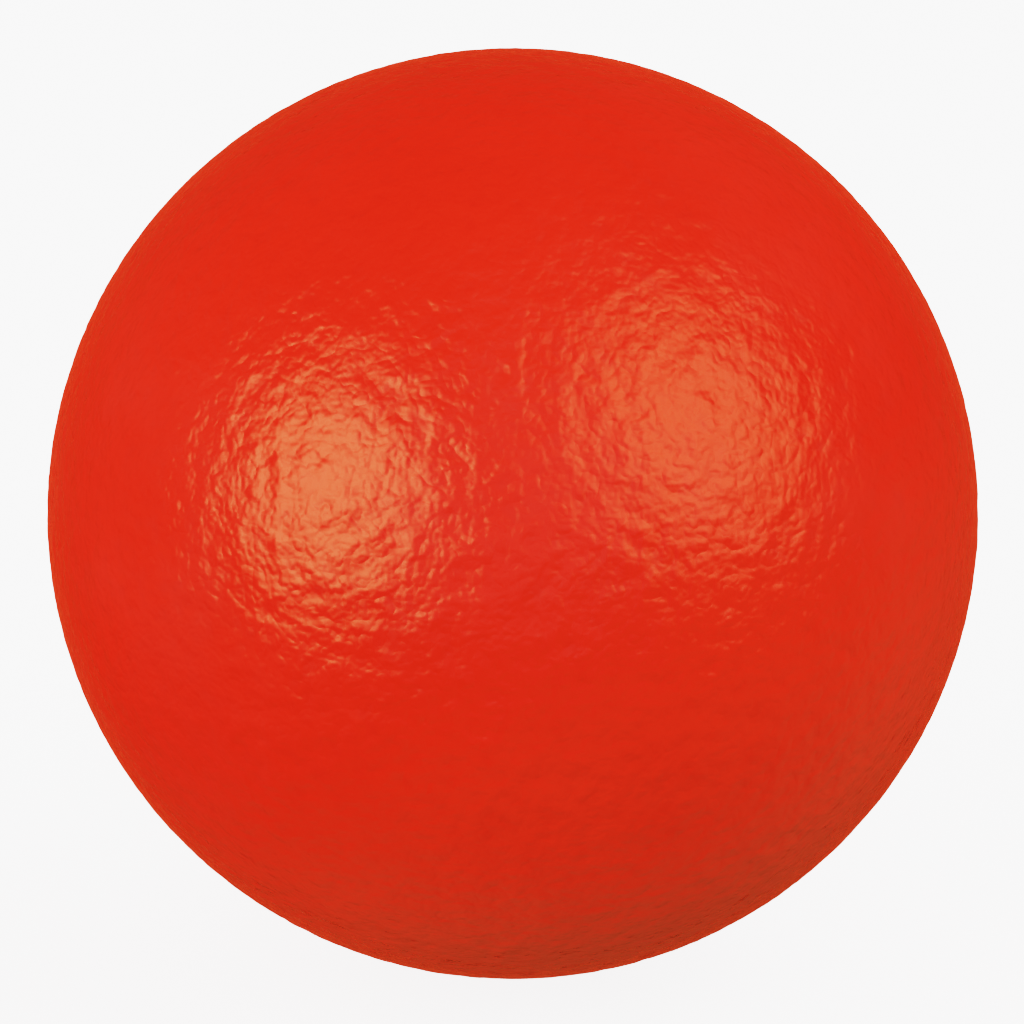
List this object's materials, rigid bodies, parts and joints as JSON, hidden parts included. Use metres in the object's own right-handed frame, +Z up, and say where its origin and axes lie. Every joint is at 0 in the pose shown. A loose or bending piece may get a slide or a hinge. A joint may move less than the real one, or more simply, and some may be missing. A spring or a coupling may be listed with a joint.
{
  "type": "playground ball",
  "caption": "Inflatable red rubber playground ball with a crinkled moulded grain, a wound carcass, an airtight bladder and a flush self-sealing needle valve.",
  "frame": {"origin": "centre of the ball", "axes": "+Z up, +Y out of the inflating valve, which the ball turns away from its viewed side; the ball is round about +Y"},
  "size_m": [0.216, 0.2159, 0.216],
  "materials": {
    "cover_rubber": "satin",
    "liner_rubber": "matte",
    "nylon_thread": "satin",
    "bladder_butyl": "satin",
    "patch_rubber": "matte",
    "housing_rubber": "satin",
    "plug_rubber": "gloss"
  },
  "bodies": {
    "root": {"cover": "cover_rubber", "liner": "liner_rubber", "winding": "nylon_thread", "bladder": "bladder_butyl", "valve_patch": "patch_rubber", "valve_housing": "housing_rubber", "valve_plug": "plug_rubber"}
  },
  "joints": []
}
